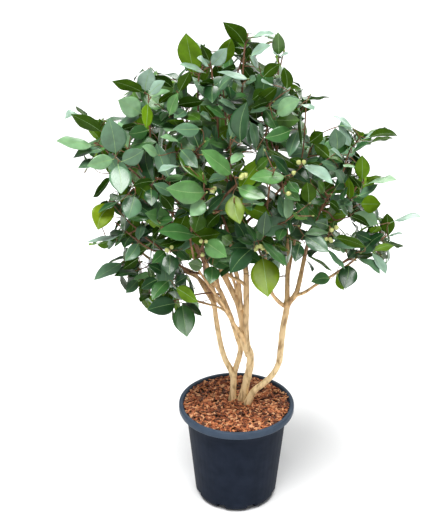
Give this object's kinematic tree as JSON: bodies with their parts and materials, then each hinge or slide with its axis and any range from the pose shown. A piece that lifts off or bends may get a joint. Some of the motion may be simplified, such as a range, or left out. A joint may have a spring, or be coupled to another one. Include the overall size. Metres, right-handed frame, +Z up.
{
  "type": "potted camellia shrub",
  "caption": "Bushy camellia with long curved stems, open sprays of large pointed glossy leaves and small buds, in a round ribbed plastic pot of bark-topped soil.",
  "frame": {"origin": "centre of the pot's flat underside", "axes": "+Z up along the pot's axis, +X to the right of the front view, +Y to the back"},
  "size_m": [1.0297, 0.805, 1.4872],
  "materials": {
    "pot_plastic": "semi-matt moulded plastic with fine upright flutes",
    "bark_mulch": "loose chips of bark, matt",
    "bark_pale": "smooth pale tan bark, faintly mottled",
    "bark_brown": "smooth brown young bark",
    "foliage": "glossy dark green leaves, paler and duller beneath"
  },
  "bodies": {
    "root": {"pot": "pot_plastic", "soil": "bark_mulch", "left_stem": "bark_pale", "middle_stem": "bark_pale", "right_foot": "bark_pale", "right_stem": "bark_pale", "inner_stem": "bark_pale", "leader": "bark_brown", "left_bough": "bark_brown", "left_rear_bough": "bark_brown", "left_front_bough": "bark_brown", "front_left_bough": "bark_brown", "rear_bough": "bark_brown", "right_inner_bough": "bark_brown", "right_leader": "bark_brown", "right_bough": "bark_brown", "right_low_bough": "bark_brown", "left_high_bough": "bark_brown", "right_rear_bough": "bark_brown", "top_spray": "foliage", "top_left_spray": "foliage", "top_right_spray": "foliage", "upper_left_spray": "foliage", "left_tip_spray": "foliage", "left_mid_spray": "foliage", "left_low_spray": "foliage", "left_bottom_spray": "foliage", "bottom_left_spray": "foliage", "hanging_spray": "foliage", "right_top_spray": "foliage", "right_high_spray": "foliage", "right_mid_spray": "foliage", "right_mid_low_spray": "foliage", "right_tip_spray": "foliage", "right_low_spray": "foliage", "right_inner_low_spray": "foliage", "centre_low_spray": "foliage", "centre_left_low_spray": "foliage", "front_left_low_spray": "foliage", "front_left_spray": "foliage", "front_high_left_spray": "foliage", "front_mid_left_spray": "foliage", "front_left_upper_spray": "foliage", "front_centre_spray": "foliage", "front_upper_spray": "foliage", "front_top_spray": "foliage", "front_right_top_spray": "foliage", "front_right_spray": "foliage", "front_right_low_spray": "foliage", "front_right_upper_spray": "foliage", "right_front_spray": "foliage", "rear_left_spray": "foliage", "rear_left_low_spray": "foliage", "rear_high_left_spray": "foliage", "rear_high_spray": "foliage", "rear_high_right_spray": "foliage", "rear_mid_spray": "foliage", "rear_low_spray": "foliage", "rear_right_spray": "foliage", "left_inner_low_spray": "foliage"}
  },
  "joints": []
}
